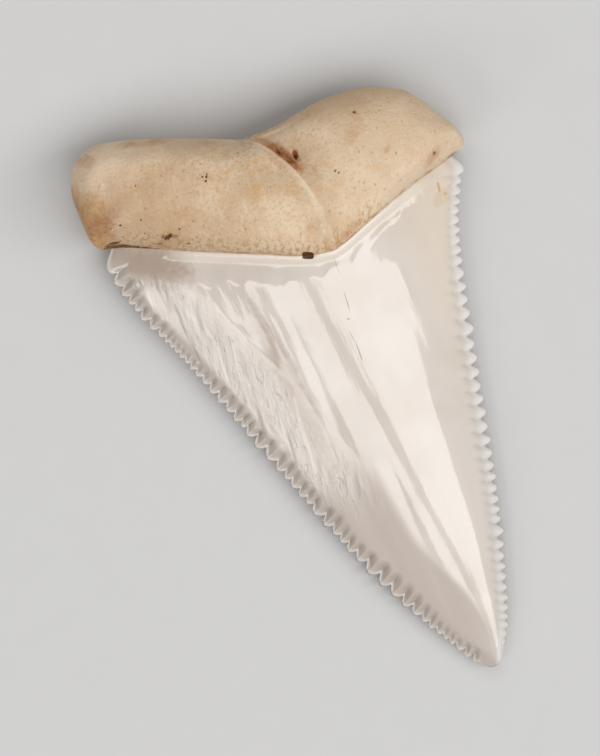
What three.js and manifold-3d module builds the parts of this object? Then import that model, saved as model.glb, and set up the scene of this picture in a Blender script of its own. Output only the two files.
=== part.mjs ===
// A great white shark tooth, in millimetres, lying on the flat outer (labial) face of its crown.
// Crown and root grew as one piece, so the tooth is one mesh. The serrated enamel crown points along
// -Y and the two-lobed root lies at +Y. +Z is up, out of the swollen inner (lingual) face. The origin
// is on the surface that the tooth lies on, under the middle of its box.
import * as THREE from "three";
import { mergeVertices } from "three/addons/utils/BufferGeometryUtils.js";
import Module from "manifold-3d";

// Plan points are [x, y] seen from above, measured from the point of the V where enamel meets root.
// The cutting edges run from the tip to the root, along the middle of their serrations.
const LEFT_EDGE = [
  [-2.7, -32.7], [-4.1, -30.2], [-5.3, -27.8], [-7.4, -22.7], [-9.1, -17.6], [-10.6, -12.4],
  [-12.1, -7.2], [-13.6, -2.2], [-15.35, 2.8], [-15.95, 6.0], [-15.45, 8.4],
];
const RIGHT_EDGE = [
  [-0.8, -32.8], [0.5, -30.7], [1.6, -28.0], [3.5, -22.6], [4.9, -17.8],
  [6.1, -13.3], [7.3, -9.1], [8.5, -4.9], [9.9, -1.0], [11.15, 1.4], [11.7, 2.4], [11.9, 3.8],
];
const TIP_ARC_DROP = 0.7;
const TIP_ROUNDING = 1.2;
const ORIGIN = [-1.77, -8.81]; // the middle of the tooth's box

// The root's silhouette: up the left lobe, along its top to the notch, along the right lobe's top,
// and down the right lobe.
const ROOT_LEFT = [
  [-15.45, 8.4], [-15.95, 8.3], [-16.4, 9.3], [-16.4, 11.5], [-16.15, 13.4], [-15.3, 15.05],
];
const ROOT_TOP_LEFT = [[-15.3, 15.05], [-13.4, 15.8], [-10.8, 15.2], [-6.5, 13.4], [-2.6, 11.5]];
const ROOT_TOP_RIGHT = [[-2.6, 11.5], [0.3, 11.4], [4.2, 11.75], [7.8, 11.2], [10.3, 9.8]];
const ROOT_RIGHT = [
  [11.9, 3.8], [12.45, 3.85], [12.85, 4.35], [12.75, 5.5], [11.95, 7.0], [11.3, 8.4], [10.3, 9.8],
];

// Where the enamel stops, from the left edge to the middle and on to the right edge, and the line
// from there up to the notch, on the swollen face that is up and on the flat face that is down.
const FACE_UP = {
  enamelLeft: [[-15.45, 8.4], [-14.1, 7.8], [-10.3, 5.65], [-5.1, 2.95], [-1.9, 1.35], [0.3, 0.8]],
  enamelRight: [[0.3, 0.8], [1.7, 1.1], [3.4, 1.65], [7.2, 2.75], [9.5, 3.25], [11.9, 3.8]],
  fold: [[0.3, 0.8], [0.75, 4.0], [0.35, 6.8], [-0.45, 8.9], [-1.5, 10.6], [-2.6, 11.5]],
};
const FACE_DOWN = {
  enamelLeft: [[-15.45, 8.4], [-12.5, 8.2], [-8.0, 7.2], [-3.6, 6.1], [0.0, 5.6]],
  enamelRight: [[0.0, 5.6], [4.0, 5.5], [8.4, 5.2], [11.9, 3.8]],
  fold: [[0.0, 5.6], [-0.8, 7.8], [-1.8, 9.9], [-2.6, 11.5]],
};
const FOLD_SHARE = 0.6; // where the fold stands across the tooth, from 0 at the left to 1

// Heights above the surface, from the tip to the root, at even steps along the crown.
const CUTTING_EDGE_HEIGHT = [0.9, 1.15, 1.3, 1.5, 2.0];
const CREST_HEIGHT = [1.7, 3.85, 4.95, 5.8, 7.3];
const CREST_SHARE = [0.8, 0.76, 0.69, 0.64, 0.6]; // from the left edge to the right
const LEFT_ROUNDNESS = 0.55; // of the crest: a low value leaves the flank beside it straight
const RIGHT_ROUNDNESS = 1.3;
const OUTER_BEVEL = 4.2; // how far in the outer face turns up towards the cutting edge
const V_REACH = 1.6; // how fast the V of the enamel line fades towards the tip
const COLLAR_WIDTH = 0.85;
const COLLAR_HEIGHT = 0.2;
const COLLAR_ENDS = [0.12, 0.24, 0.78, 0.93]; // where it grows and fades, from left to right

// Each serration's length, at a distance from the tip along its edge, and its depth as a share.
const LEFT_SERRATIONS = [
  [0, 0.78], [1.5, 0.82], [2.4, 0.62], [3.1, 0.6], [3.7, 0.74], [5, 0.74], [5.8, 1.02], [7, 1.06],
  [8, 1.26], [9.2, 1.22], [10.4, 1.46], [11.9, 1.02], [13, 0.98], [14, 0.78], [15.6, 1.06],
  [16.6, 1.3], [17.9, 0.66], [18.6, 0.9], [19.4, 0.94], [20.4, 0.78], [22, 1.3], [23.4, 1.24],
  [24.6, 1.04], [25.7, 0.58], [26.3, 0.9], [28, 1.0], [29, 0.96], [31, 0.7], [33, 0.55],
  [34.6, 0.55], [35.6, 1.0], [36.6, 1.02], [37.7, 0.7], [38.6, 0.75], [40, 1.15],
  [41, 1.2], [41.1, 2.3],
];
const RIGHT_SERRATIONS = [
  [0, 0.62], [2, 0.7], [2.7, 0.62], [3.3, 0.75], [5, 0.84], [6.5, 0.78], [8, 0.92], [9, 1.14],
  [10.2, 0.72], [12.5, 0.88], [14.5, 0.9], [15.2, 1.02], [18, 1.12], [19.4, 1.0], [22.5, 1.14],
  [23.6, 1.04], [24.6, 1.34], [26, 1.12], [28, 0.94], [29, 1.14], [30.2, 0.86], [32, 0.74],
  [33.3, 0.8], [34.2, 0.66], [35.5, 0.84], [36.4, 0.72], [37, 1.8],
];
const SERRATION_DEPTH = 0.58;
const SERRATION_LEAN = 0.93; // below 1, the points stand nearer to the tip
const CORNER_LEAN = 0.5; // of the long serration beside the root
const DEEPEST_LENGTH = 1.2; // longer serrations are no deeper
const BLUNT_TIP = { left: 0.5, right: 3 }; // the serrations fade out over these lengths at the tip
const RIDGE_LEAN = 0.6; // how far the ridges run towards the root for each mm into the blade
const HOLLOW_REACH = 1.4; // of a serration's length, how far the hollows run into the blade
const HOLLOW_DEPTH = { left: 0.36, right: 0.05 };
const UNEVENNESS = 0.16; // of the serrations' depth

const ROOT_HEIGHT = 5.9;
const ROOT_SWELL = 3.6; // highest a little above the lip
const LOBE_FALL = { left: 1.7, right: 2.9 }; // how much lower the two lobes end
const ROOT_UNDERSIDE = 0.2;
const UNDERSIDE_HOLLOW = 0.8; // between the lobes
const ROOT_WAIST_HEIGHT = 3.8; // of the silhouette, where the root is widest
const ROOT_ROUNDING = 2.3;
const ROOT_SQUARENESS = 2.7; // 2 rounds the root's outline in a circle, more makes it squarer
const LIP_ROUNDING = 0.7;
const LIP_SLOPE = 0.45; // how much further in the lip turns for each mm that it stands up
const FOLD_DEPTH = 1.5;
const FOLD_WIDTH = 4.5;
// Half sizes along, across and deep of the foramen beside the fold and the nick in the collar, and
// how they are turned in degrees.
const PITS = [
  { at: [0.62, 8.7], size: [0.4, 0.26, 0.9], turn: 81 },
  { at: [-1.71, 1.28], size: [0.5, 0.26, 0.4], turn: -25 },
];
const PIT_SIDES = 10;
const PIT_RINGS = 6;

// How finely the surface is divided.
const OUTLINE_STEPS = 4; // to a serration
const RIDGE_PART = 0.45; // of the way into the serrated strip, where the ridges are cut
const BLADE_ROWS = 44;
const BLADE_COLUMNS = 12;
const LOBE_COLUMNS = 11;
const FOLD_WALL = 0.008; // of the tooth's width, the steep side of the fold
const ROOT_ROWS = 12;

const lerp = THREE.MathUtils.lerp;
const smoothstep = THREE.MathUtils.smoothstep;
const even = (steps) => Array.from({ length: steps + 1 }, (_, i) => i / steps);
const curve = (points) => new THREE.SplineCurve(points.map(([x, y]) => new THREE.Vector2(x, y)));
// A quarter circle from 0 to 1, or a squarer curve.
const quarterRound = (q, squareness = 2) =>
  (1 - (1 - Math.min(Math.max(q, 0), 1)) ** squareness) ** (1 / squareness);

const edges = { left: curve(LEFT_EDGE), right: curve(RIGHT_EDGE) };
const silhouette = {
  left: curve(ROOT_LEFT),
  topLeft: curve(ROOT_TOP_LEFT),
  topRight: curve(ROOT_TOP_RIGHT),
  right: curve(ROOT_RIGHT),
};
const makeFace = (up, lines) => ({
  up,
  enamelLeft: curve(lines.enamelLeft),
  enamelRight: curve(lines.enamelRight),
  fold: curve(lines.fold),
});
const faces = [makeFace(true, FACE_UP), makeFace(false, FACE_DOWN)];

// A value between evenly spaced ones, along a smooth line.
function along(values, t) {
  const line = new THREE.SplineCurve(values.map((v, i) => new THREE.Vector2(i, v)));
  return line.getPoint(t).y;
}

// A value between pairs of [distance, value], along straight lines.
function between(pairs, distance) {
  const next = pairs.findIndex(([d]) => d > distance);
  if (next < 1) return pairs[next < 0 ? pairs.length - 1 : 0][1];
  const [[d0, v0], [d1, v1]] = [pairs[next - 1], pairs[next]];
  return lerp(v0, v1, (distance - d0) / (d1 - d0));
}

// The serrations of one edge, as [start, end] distances from the tip.
function serrate(edge, pitches) {
  const length = edge.getLength();
  const cuts = [0];
  while (cuts.at(-1) < length) cuts.push(cuts.at(-1) + between(pitches, cuts.at(-1)));
  const stretch = length / cuts.at(-1);
  return cuts.slice(1).map((end, i) => [cuts[i] * stretch, end * stretch]);
}
const serrations = {
  left: serrate(edges.left, LEFT_SERRATIONS),
  right: serrate(edges.right, RIGHT_SERRATIONS),
};

// What the serrations do to a point beside an edge. The outline's rise goes from 0 in a notch to 1 on
// a point, and the hollow from 0 on the sharp ridge behind the point to 1 behind the notch.
function serrationAt(side, t, inward) {
  const distance = t * edges[side].getLength() - RIDGE_LEAN * inward;
  const k = Math.max(serrations[side].findIndex(([, end]) => distance <= end + 1e-9), 0);
  const [start, end] = serrations[side][k];
  const power = lerp(SERRATION_LEAN, CORNER_LEAN, smoothstep(end - start, 1.5, 1.7));
  const lean = Math.min(Math.max((distance - start) / (end - start), 0), 1) ** power;
  const uneven = 1 + UNEVENNESS * Math.sin(2.3 * k);
  return {
    rise: Math.sin(Math.PI * lean),
    hollow: Math.abs(Math.cos(Math.PI * lean)),
    size: uneven * Math.min(end - start, DEEPEST_LENGTH) * smoothstep(distance, 0, BLUNT_TIP[side]),
  };
}

// How far the hollows run into the blade, at a place along an edge.
function hollowReach(side, t) {
  const distance = t * edges[side].getLength();
  const pitches = side === "left" ? LEFT_SERRATIONS : RIGHT_SERRATIONS;
  const length = Math.min(between(pitches, distance), DEEPEST_LENGTH);
  return HOLLOW_REACH * length * smoothstep(distance, 0, BLUNT_TIP[side]);
}

// How much of its full height the ridge keeps at a share of the way down to the cutting edge.
const ridge = (off, roundness) => 1 - (off ** 2 * (1 + roundness)) / (off + roundness);

// A point of a face's enamel line, from 0 at the left edge to 1 at the right.
function enamelLine(face, s) {
  return s <= FOLD_SHARE
    ? face.enamelLeft.getPointAt(s / FOLD_SHARE)
    : face.enamelRight.getPointAt((s - FOLD_SHARE) / (1 - FOLD_SHARE));
}

// A point of the crown: t runs from the tip to the enamel line and s from the left edge to the right.
function crownPoint(face, t, s) {
  const left = edges.left.getPointAt(t);
  const right = edges.right.getPointAt(t);
  const width = left.distanceTo(right);
  const side = s < 0.5 ? "left" : "right";
  const share = Math.min(s, 1 - s);
  const inward = share * width;
  const { rise, hollow, size } = serrationAt(side, t, inward);
  const fade = Math.max(1 - inward / Math.max(hollowReach(side, t), 1e-6), 0);

  const plan = left.clone().lerp(right, s);
  const chord = edges.left.getPointAt(1).lerp(edges.right.getPointAt(1), s);
  plan.addScaledVector(enamelLine(face, s).sub(chord), t ** V_REACH);
  plan.y -= TIP_ARC_DROP * (1 - t) ** 60 * 4 * s * (1 - s);
  const tangent = edges[side].getTangentAt(t);
  const outward = new THREE.Vector2(-tangent.y, tangent.x).multiplyScalar(side === "left" ? 1 : -1);
  plan.addScaledVector(outward, SERRATION_DEPTH * size * (rise - 0.55) * fade);

  const edgeHeight = along(CUTTING_EDGE_HEIGHT, t);
  const deepest = HOLLOW_DEPTH[side] * (1 - smoothstep(t, 0.93, 0.96));
  const scoop = deepest * size * hollow * Math.sin(Math.PI * fade ** 1.5);
  if (share === 0 || t === 0) return new THREE.Vector3(plan.x, plan.y, edgeHeight);
  const tip = quarterRound((t * edges.left.getLength()) / TIP_ROUNDING);
  if (!face.up) {
    const bevel = Math.min(OUTER_BEVEL, 0.42 * width);
    const turn = Math.max(1 - inward / bevel, 0);
    const low = edgeHeight * turn ** 2 + 0.6 * scoop;
    return new THREE.Vector3(plan.x, plan.y, lerp(edgeHeight, low, tip));
  }
  const crest = along(CREST_SHARE, t);
  const onLeft = s < crest;
  const off = onLeft ? 1 - s / crest : (s - crest) / (1 - crest);
  const keep = ridge(off, onLeft ? LEFT_ROUNDNESS : RIGHT_ROUNDNESS);
  const [grow, grown, fading, gone] = COLLAR_ENDS;
  const ledge = smoothstep(s, grow, grown) * (1 - smoothstep(s, fading, gone));
  const belowRoot = (1 - t) * edges.left.getLength();
  const collar = COLLAR_HEIGHT * ledge * (1 - smoothstep(belowRoot, 0.6 * COLLAR_WIDTH, COLLAR_WIDTH));
  const high = lerp(edgeHeight, along(CREST_HEIGHT, t), keep) - scoop + collar;
  return new THREE.Vector3(plan.x, plan.y, lerp(edgeHeight, high, tip));
}

// A point inside four curves that meet at their ends.
function patch(bottom, top, left, right, u, v) {
  const across = bottom(u).clone().lerp(top(u), v);
  const upward = left(v).clone().lerp(right(v), u);
  const low = bottom(0).clone().lerp(bottom(1), u);
  const high = top(0).clone().lerp(top(1), u);
  return across.add(upward).sub(low.lerp(high, v));
}

// The plan of a point of the root: r runs from the enamel line to the top of the lobes.
function rootPlan(face, r, s) {
  const fold = (v) => face.fold.getPointAt(v);
  if (s <= FOLD_SHARE)
    return patch(
      (u) => face.enamelLeft.getPointAt(u),
      (u) => silhouette.topLeft.getPointAt(u),
      (v) => silhouette.left.getPointAt(v),
      fold,
      s / FOLD_SHARE,
      r,
    );
  return patch(
    (u) => face.enamelRight.getPointAt(u),
    (u) => silhouette.topRight.getPointAt(u),
    fold,
    (v) => silhouette.right.getPointAt(v),
    (s - FOLD_SHARE) / (1 - FOLD_SHARE),
    r,
  );
}

// Distance from a plan point to a line of plan points.
function distanceTo(line, point) {
  const nearest = new THREE.Vector3();
  const p = new THREE.Vector3(point.x, point.y, 0);
  let least = Infinity;
  for (const segment of line) {
    segment.closestPointToPoint(p, true, nearest);
    least = Math.min(least, nearest.distanceTo(p));
  }
  return least;
}
const flat = (p) => new THREE.Vector3(p.x, p.y, 0);
const segments = (points) => points.slice(1).map((p, i) => new THREE.Line3(flat(points[i]), flat(p)));
const rootOutline = segments([
  ...silhouette.left.getPoints(20),
  ...silhouette.topLeft.getPoints(30),
  ...silhouette.topRight.getPoints(30),
  ...silhouette.right.getPoints(20).reverse(),
]);
for (const face of faces)
  face.enamelSegments = segments(even(60).map((s) => enamelLine(face, s)));

// A point of the root, with its lip over the enamel, its rounded outline and the fold between lobes.
function rootPoint(face, r, s) {
  const plan = rootPlan(face, r, s);
  const onOutline = s === 0 || s === 1 || r === 1;
  const waist = lerp(along(CUTTING_EDGE_HEIGHT, 1), ROOT_WAIST_HEIGHT, smoothstep(r, 0, 0.25));
  const rim = s === 0 || s === 1 ? waist : ROOT_WAIST_HEIGHT;
  if (onOutline) return new THREE.Vector3(plan.x, plan.y, rim);
  const inward = distanceTo(rootOutline, plan);
  const foot = crownPoint(face, 1, s).z;
  const middle = 1 - (2 * s - 1) ** 2;
  let height = ROOT_UNDERSIDE + UNDERSIDE_HOLLOW * middle * smoothstep(r, 0, 1);
  if (face.up) {
    const swell = Math.sin(Math.PI * (0.25 + 0.6 * r));
    const beyond = (s - FOLD_SHARE) * edges.left.getPointAt(1).distanceTo(edges.right.getPointAt(1));
    const fold = s > FOLD_SHARE ? FOLD_DEPTH * smoothstep(r, 0.3, 0.9) : 0;
    const fall = s < 0.5 ? LOBE_FALL.left : LOBE_FALL.right;
    height = ROOT_HEIGHT + ROOT_SWELL * swell - fall * (1 - middle);
    height -= fold * 0.5 * (1 + Math.cos(Math.PI * Math.min(beyond / FOLD_WIDTH, 1)));
  }
  const turn = LIP_ROUNDING + LIP_SLOPE * Math.abs(height - foot);
  const surface = lerp(foot, height, quarterRound(distanceTo(face.enamelSegments, plan) / turn));
  const rounded = quarterRound(inward / ROOT_ROUNDING, ROOT_SQUARENESS);
  return new THREE.Vector3(plan.x, plan.y, lerp(waist, surface, rounded));
}

// Triangles between two lines of points, each given as [parameter, point], wound so that the first
// line is on the left when looking along them from above. rightFirst settles a tie.
function zip(left, right, rightFirst, flip, corners) {
  let [i, j] = [0, 0];
  while (i < left.length - 1 || j < right.length - 1) {
    const nextLeft = left[i + 1]?.[0] ?? Infinity;
    const nextRight = right[j + 1]?.[0] ?? Infinity;
    const goRight = nextRight < nextLeft || (nextRight === nextLeft && rightFirst);
    const third = goRight ? right[j + 1] : left[i + 1];
    const triangle = [left[i][1], right[j][1], third[1]];
    corners.push(...(flip ? triangle.reverse() : triangle));
    if (goRight) j += 1;
    else i += 1;
  }
}

// The steps from the tip at which one edge bends: so many to a serration, but one at the tip.
const edgeSteps = (side) => [
  ...serrations[side].flatMap(([start, end], k) =>
    even(k ? OUTLINE_STEPS : 1).slice(0, -1).map((p) => lerp(start, end, p) / edges[side].getLength()),
  ),
  1,
];

// The share of the crown's width at which the serrated strip of one edge ends.
function strip(side, t) {
  const width = edges.left.getPointAt(t).distanceTo(edges.right.getPointAt(t));
  return Math.min((hollowReach(side, t) + 0.1) / width, 0.2);
}

// The steps at which the ridges and hollows bend behind an edge, a part of the way into the strip.
function ridgeSteps(side, part) {
  const shift = (t) => (RIDGE_LEAN * part * (hollowReach(side, t) + 0.1)) / edges[side].getLength();
  const steps = edgeSteps(side).slice(1).map((t) => t + shift(t));
  return [0, ...steps.filter((t) => t < 1), 1];
}

// The columns of the crown, from the left edge to the right. Each has its own steps from the tip.
function crownColumns(face) {
  const steps = [...even(BLADE_ROWS), 0.15 / BLADE_ROWS, 0.45 / BLADE_ROWS, 1 - 0.5 / BLADE_ROWS];
  steps.sort((a, b) => a - b);
  const column = (ts, share) => ts.map((t) => [t, crownPoint(face, t, share(t)), share(t)]);
  return [
    column(edgeSteps("left"), () => 0),
    column(ridgeSteps("left", RIDGE_PART), (t) => RIDGE_PART * strip("left", t)),
    ...even(BLADE_COLUMNS).map((k) =>
      column(steps, (t) => lerp(strip("left", t), 1 - strip("right", t), k)),
    ),
    column(ridgeSteps("right", RIDGE_PART), (t) => 1 - RIDGE_PART * strip("right", t)),
    column(edgeSteps("right"), () => 1),
  ];
}

// The columns of the root: close together at the outline, the lip and the fold, where it turns most.
function rootColumns(face) {
  const crowded = (n) => even(n).map((k) => 0.5 - 0.5 * Math.cos(Math.PI * k));
  const lobes = [
    ...crowded(LOBE_COLUMNS).map((k) => k * FOLD_SHARE),
    ...crowded(LOBE_COLUMNS).map((k) => lerp(FOLD_SHARE + FOLD_WALL, 1, k)),
  ];
  const rows = crowded(ROOT_ROWS).slice(1);
  return lobes.map((s) => [s, rows.map((r) => [r, rootPoint(face, r, s)])]);
}

// Both faces of the tooth, which share the points of its outline.
function toothCorners() {
  const corners = [];
  for (const face of faces) {
    const crown = crownColumns(face);
    const root = rootColumns(face);
    const [halfCrown, halfRoot] = [crown.length / 2, root.length / 2];
    for (let i = 1; i < crown.length; i += 1)
      zip(crown[i - 1], crown[i], i < halfCrown, !face.up, corners);
    for (let i = 1; i < root.length; i += 1)
      zip(root[i - 1][1], root[i][1], i > halfRoot, !face.up, corners);
    const base = crown.map((column) => [column.at(-1)[2], column.at(-1)[1]]);
    const lip = root.map(([s, column]) => [s, column[0][1]]);
    zip(lip, base, true, !face.up, corners);
  }
  return corners;
}

// A closed geometry as a solid, and a solid as a geometry.
const wasm = await Module();
wasm.setup();
function toSolid(geometry) {
  const bare = new THREE.BufferGeometry().setIndex(geometry.index);
  bare.setAttribute("position", geometry.getAttribute("position"));
  const merged = mergeVertices(bare, 1e-5);
  const vertProperties = merged.getAttribute("position").array;
  const triVerts = new Uint32Array(merged.index.array);
  return new wasm.Manifold(new wasm.Mesh({ numProp: 3, vertProperties, triVerts }));
}
function toGeometry(solid) {
  const { vertProperties, triVerts } = solid.getMesh();
  const geometry = new THREE.BufferGeometry();
  geometry.setAttribute("position", new THREE.BufferAttribute(vertProperties, 3));
  return geometry.setIndex(new THREE.BufferAttribute(triVerts, 1));
}

// An egg-shaped cutter with its middle where the upward face of the surface lies.
function pitCutter(surface, { at: [x, y], size, turn }) {
  const ray = new THREE.Raycaster(new THREE.Vector3(x, y, 100), new THREE.Vector3(0, 0, -1));
  const [hit] = ray.intersectObject(new THREE.Mesh(surface));
  const egg = new THREE.SphereGeometry(1, PIT_SIDES, PIT_RINGS).rotateX(Math.PI / 2);
  egg.scale(...size).rotateZ(THREE.MathUtils.degToRad(turn));
  return egg.translate(x, y, hit.point.z);
}

function makeTooth() {
  const surface = new THREE.BufferGeometry().setFromPoints(toothCorners());
  const cutters = PITS.map((pit) => toSolid(pitCutter(surface, pit)));
  const solid = cutters.reduce((rest, cutter) => rest.subtract(cutter), toSolid(surface));
  const tooth = new THREE.Mesh(
    toGeometry(solid).translate(-ORIGIN[0], -ORIGIN[1], 0),
    new THREE.MeshStandardMaterial({ color: 0xe9e2d8, roughness: 0.3, metalness: 0 }),
  );
  tooth.name = "tooth";
  return tooth;
}

const part = new THREE.Group();
part.add(makeTooth());
export default part;
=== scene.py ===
# A fossil great white shark tooth, lying on the flat outer face of its crown and seen from above.
import math

import bpy
import numpy as np
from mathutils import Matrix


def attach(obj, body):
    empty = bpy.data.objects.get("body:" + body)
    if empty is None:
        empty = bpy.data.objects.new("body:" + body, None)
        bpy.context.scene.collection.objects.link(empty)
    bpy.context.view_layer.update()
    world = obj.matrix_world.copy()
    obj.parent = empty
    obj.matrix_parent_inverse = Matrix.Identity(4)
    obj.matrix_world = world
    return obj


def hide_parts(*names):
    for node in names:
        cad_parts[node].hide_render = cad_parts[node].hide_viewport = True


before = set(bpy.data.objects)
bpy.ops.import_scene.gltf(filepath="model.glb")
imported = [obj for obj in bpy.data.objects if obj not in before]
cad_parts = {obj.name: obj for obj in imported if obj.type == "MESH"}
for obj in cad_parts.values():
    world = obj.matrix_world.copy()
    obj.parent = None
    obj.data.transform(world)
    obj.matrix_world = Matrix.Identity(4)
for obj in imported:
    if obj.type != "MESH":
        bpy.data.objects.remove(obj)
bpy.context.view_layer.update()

MM = 0.001

# Plan points are [x, y] in millimetres seen from above, measured from the point of the V where
# enamel meets root. The cutting edges run from the tip to the root.
ORIGIN = (-1.77, -8.81)
LEFT_EDGE = [
    (-2.7, -32.7), (-4.1, -30.2), (-5.3, -27.8), (-7.4, -22.7), (-9.1, -17.6), (-10.6, -12.4),
    (-12.1, -7.2), (-13.6, -2.2), (-15.35, 2.8), (-15.95, 6.0), (-15.45, 8.4),
]
RIGHT_EDGE = [
    (-0.8, -32.8), (0.5, -30.7), (1.6, -28.0), (3.5, -22.6), (4.9, -17.8), (6.1, -13.3),
    (7.3, -9.1), (8.5, -4.9), (9.9, -1.0), (11.15, 1.4), (11.7, 2.4), (11.9, 3.8),
]
TIP_ARC_DROP = 0.7
TIP_ROUNDING = 1.2

# The root's silhouette: up the left lobe, along its top to the notch, along the right lobe's top,
# and down the right lobe.
ROOT_LEFT = [(-15.45, 8.4), (-15.95, 8.3), (-16.4, 9.3), (-16.4, 11.5), (-16.15, 13.4), (-15.3, 15.05)]
ROOT_TOP_LEFT = [(-15.3, 15.05), (-13.4, 15.8), (-10.8, 15.2), (-6.5, 13.4), (-2.6, 11.5)]
ROOT_TOP_RIGHT = [(-2.6, 11.5), (0.3, 11.4), (4.2, 11.75), (7.8, 11.2), (10.3, 9.8)]
ROOT_RIGHT = [
    (11.9, 3.8), (12.45, 3.85), (12.85, 4.35), (12.75, 5.5), (11.95, 7.0), (11.3, 8.4), (10.3, 9.8),
]

# Where the enamel stops on each face, from left to right, and the line from there up to the notch.
UP_LINES = {
    "enamel_left": [
        (-15.45, 8.4), (-14.1, 7.8), (-10.3, 5.65), (-5.1, 2.95), (-1.9, 1.35), (0.3, 0.8),
    ],
    "enamel_right": [(0.3, 0.8), (1.7, 1.1), (3.4, 1.65), (7.2, 2.75), (9.5, 3.25), (11.9, 3.8)],
    "fold": [(0.3, 0.8), (0.75, 4.0), (0.35, 6.8), (-0.45, 8.9), (-1.5, 10.6), (-2.6, 11.5)],
}
DOWN_LINES = {
    "enamel_left": [(-15.45, 8.4), (-12.5, 8.2), (-8.0, 7.2), (-3.6, 6.1), (0.0, 5.6)],
    "enamel_right": [(0.0, 5.6), (4.0, 5.5), (8.4, 5.2), (11.9, 3.8)],
    "fold": [(0.0, 5.6), (-0.8, 7.8), (-1.8, 9.9), (-2.6, 11.5)],
}
FOLD_SHARE = 0.6  # where the fold stands across the tooth, from 0 at the left to 1

# Heights above the surface, from the tip to the root, at even steps along the crown.
CUTTING_EDGE_HEIGHT = [0.9, 1.15, 1.3, 1.5, 2.0]
CREST_HEIGHT = [1.7, 3.85, 4.95, 5.8, 7.3]
CREST_SHARE = [0.8, 0.76, 0.69, 0.64, 0.6]
LEFT_ROUNDNESS = 0.55
RIGHT_ROUNDNESS = 1.3
OUTER_BEVEL = 4.2
V_REACH = 1.6
COLLAR_WIDTH = 0.85
COLLAR_HEIGHT = 0.2
COLLAR_ENDS = (0.12, 0.24, 0.78, 0.93)
TROUGH_WIDTH = 1.8
TROUGH_DEPTH = 0.16

# How long the serrations are, as pairs of a distance from the tip along the edge and a length.
LEFT_SERRATIONS = [
    (0, 0.78), (1.5, 0.82), (2.4, 0.62), (3.1, 0.6), (3.7, 0.74), (5, 0.74), (5.8, 1.02), (7, 1.06),
    (8, 1.26), (9.2, 1.22), (10.4, 1.46), (11.9, 1.02), (13, 0.98), (14, 0.78), (15.6, 1.06),
    (16.6, 1.3), (17.9, 0.66), (18.6, 0.9), (19.4, 0.94), (20.4, 0.78), (22, 1.3), (23.4, 1.24),
    (24.6, 1.04), (25.7, 0.58), (26.3, 0.9), (28, 1.0), (29, 0.96), (31, 0.7), (33, 0.55),
    (34.6, 0.55), (35.6, 1.0), (36.6, 1.02), (37.7, 0.7), (38.6, 0.75), (40, 1.15),
    (41, 1.2), (41.1, 2.3),
]
RIGHT_SERRATIONS = [
    (0, 0.62), (2, 0.7), (2.7, 0.62), (3.3, 0.75), (5, 0.84), (6.5, 0.78), (8, 0.92), (9, 1.14),
    (10.2, 0.72), (12.5, 0.88), (14.5, 0.9), (15.2, 1.02), (18, 1.12), (19.4, 1.0), (22.5, 1.14),
    (23.6, 1.04), (24.6, 1.34), (26, 1.12), (28, 0.94), (29, 1.14), (30.2, 0.86), (32, 0.74),
    (33.3, 0.8), (34.2, 0.66), (35.5, 0.84), (36.4, 0.72), (37, 1.8),
]
SERRATION_DEPTH = 0.58  # as a share of a serration's length
SERRATION_LEAN = 0.93  # a straight one is 1 and a smaller number leans towards the tip
CORNER_LEAN = 0.5  # of the long serration beside the root
DEEPEST_LENGTH = 1.2
BLUNT_TIP = {"left": 0.5, "right": 3}
RIDGE_LEAN = 0.6
HOLLOW_REACH = 1.4
HOLLOW_DEPTH = {"left": 0.36, "right": 0.05}
UNEVENNESS = 0.16

ROOT_HEIGHT = 5.9
ROOT_SWELL = 3.6
LOBE_FALL = {"left": 1.7, "right": 2.9}
ROOT_UNDERSIDE = 0.2
UNDERSIDE_HOLLOW = 0.8
ROOT_WAIST_HEIGHT = 3.8
ROOT_ROUNDING = 2.3
ROOT_SQUARENESS = 2.7
LIP_ROUNDING = 0.7
LIP_SLOPE = 0.45
FOLD_DEPTH = 1.5
FOLD_WIDTH = 4.5
FOLD_WALL = 0.24  # how wide the steep side of the fold is at the notch
FOLD_SOFTENING = 5.0  # how many times wider it becomes towards the enamel
CREVICE_DEPTH = 0.22  # of the groove at the foot of that side, as a share of the fold
CREVICE_WIDTH = 0.3
FOLD_LIP = 0.14  # how far the overlapping lobe turns down before it, as a share of the fold

# How finely the surface is divided.
EDGE_ROWS = 560
UP_ROWS = 200
DOWN_ROWS = 110
STRIP_COLUMNS = 10
BLADE_COLUMNS = 116
ROOT_COLUMNS = 190
ROOT_ROWS = 66


# Lines in the plan

def spline(points, samples=48):
    """The points of a smooth line through given ones, evenly spaced finely enough to look up."""
    p = np.array(points, float)
    rounds = []
    for i in range(len(p) - 1):
        before = p[max(i - 1, 0)]
        after = p[min(i + 2, len(p) - 1)]
        leave = (p[i + 1] - before) / 2
        arrive = (after - p[i]) / 2
        q = np.linspace(0, 1, samples, endpoint=False)[:, None]
        rounds.append(
            (2 * p[i] - 2 * p[i + 1] + leave + arrive) * q**3
            + (-3 * p[i] + 3 * p[i + 1] - 2 * leave - arrive) * q**2
            + leave * q
            + p[i]
        )
    return np.vstack(rounds + [p[-1:]])


class Line:
    """A smooth plan line that is looked up by its share of the way along."""

    def __init__(self, points):
        self.points = spline(points)
        steps = np.linalg.norm(np.diff(self.points, axis=0), axis=1)
        self.reach = np.concatenate([[0], np.cumsum(steps)])
        self.length = self.reach[-1]

    def at(self, share):
        distance = np.asarray(share) * self.length
        x = np.interp(distance, self.reach, self.points[:, 0])
        y = np.interp(distance, self.reach, self.points[:, 1])
        return np.stack([x, y], axis=-1)

    def tangent(self, share):
        step = 0.002
        ahead = self.at(np.minimum(np.asarray(share) + step, 1))
        behind = self.at(np.maximum(np.asarray(share) - step, 0))
        way = ahead - behind
        return way / np.linalg.norm(way, axis=-1, keepdims=True)


def lerp(a, b, share):
    return a + (b - a) * share


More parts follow.
